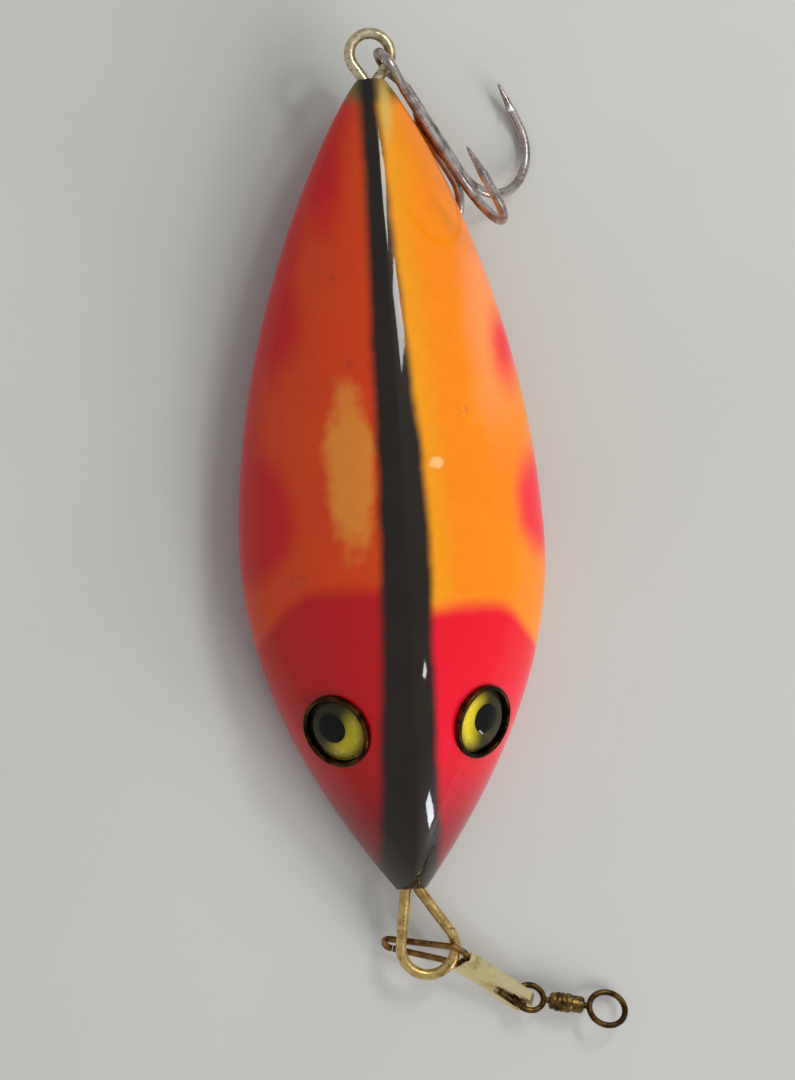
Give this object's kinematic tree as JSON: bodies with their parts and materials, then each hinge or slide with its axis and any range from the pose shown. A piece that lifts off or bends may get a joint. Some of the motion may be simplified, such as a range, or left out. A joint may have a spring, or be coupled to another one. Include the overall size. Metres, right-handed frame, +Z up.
{
  "type": "fishing lure",
  "caption": "Ridge-backed hard-bodied fishing lure: hollow two-shell body with domed eyes, a wire line tie carrying a snap swivel, and a wire tail loop carrying a treble hook.",
  "frame": {"origin": "middle of the whole object's box, on the plane it lies on", "axes": "+Y from the nose to the tail, +Z up out of the ridge, +X to the body's right seen from above with the tail away"},
  "size_m": [0.0336, 0.092, 0.0165],
  "materials": {
    "back_paint": "orange-yellow paint with a dark stripe under a glossy clear coat",
    "belly_paint": "orange paint under a glossy clear coat",
    "ballast": "bare cast metal",
    "eye_cup": "dark brown plated look",
    "eye_iris": "metallic yellow",
    "eye_pupil": "gloss black",
    "eye_dome": "clear moulded dome",
    "brass_loop": "bright drawn wire with some tarnish",
    "tail_wire": "dull drawn wire",
    "snap_brass": "tarnished wire",
    "plate_brass": "pale plated sheet",
    "swivel_dark": "dark tarnished wire",
    "barrel_dark": "dark tarnished barrel",
    "hook_steel": "dark nickel-plated wire"
  },
  "bodies": {
    "body": {"back_shell": "back_paint", "belly_shell": "belly_paint", "keel_weight": "ballast", "left_eye_cup": "eye_cup", "left_eye_iris": "eye_iris", "left_eye_pupil": "eye_pupil", "left_eye_dome": "eye_dome", "right_eye_cup": "eye_cup", "right_eye_iris": "eye_iris", "right_eye_pupil": "eye_pupil", "right_eye_dome": "eye_dome", "line_tie_loop": "brass_loop", "tail_loop": "tail_wire"},
    "snap": {"snap_wire": "snap_brass", "snap_lock_plate": "plate_brass"},
    "latch": {"snap_latch": "snap_brass"},
    "swivel_head": {"swivel_inner_eye": "swivel_dark"},
    "barrel": {"swivel_barrel": "barrel_dark"},
    "leader_ring": {"swivel_outer_eye": "swivel_dark"},
    "treble": {"treble_double_hook": "hook_steel", "treble_single_hook": "hook_steel"}
  },
  "joints": [
    {"name": "snap_swing", "type": "hinge", "parent": "body", "child": "snap", "pos_m": [-0.00166, -0.03717, 0.00349], "axis": [0, 0, 1], "range_deg": [-50, 60]},
    {"name": "latch_open", "type": "hinge", "parent": "snap", "child": "latch", "pos_m": [-0.00474, -0.03739, 0.0011], "axis": [0.3577, 0.6927, -0.6263], "range_deg": [0, 14]},
    {"name": "swivel_swing", "type": "hinge", "parent": "snap", "child": "swivel_head", "pos_m": [0.00641, -0.0425, 0.00181], "axis": [-0.3577, -0.6927, 0.6263], "range_deg": [-60, 20]},
    {"name": "barrel_spin", "type": "hinge", "parent": "swivel_head", "child": "barrel", "pos_m": [0.00641, -0.0425, 0.00181], "axis": [0.9763, -0.2164, 0], "continuous": true},
    {"name": "leader_ring_spin", "type": "hinge", "parent": "barrel", "child": "leader_ring", "pos_m": [0.00641, -0.0425, 0.00181], "axis": [0.9763, -0.2164, 0], "continuous": true},
    {"name": "treble_swing", "type": "hinge", "parent": "body", "child": "treble", "pos_m": [-0.00276, 0.04368, 0.00844], "axis": [0, 0, 1], "range_deg": [0, 215]}
  ]
}
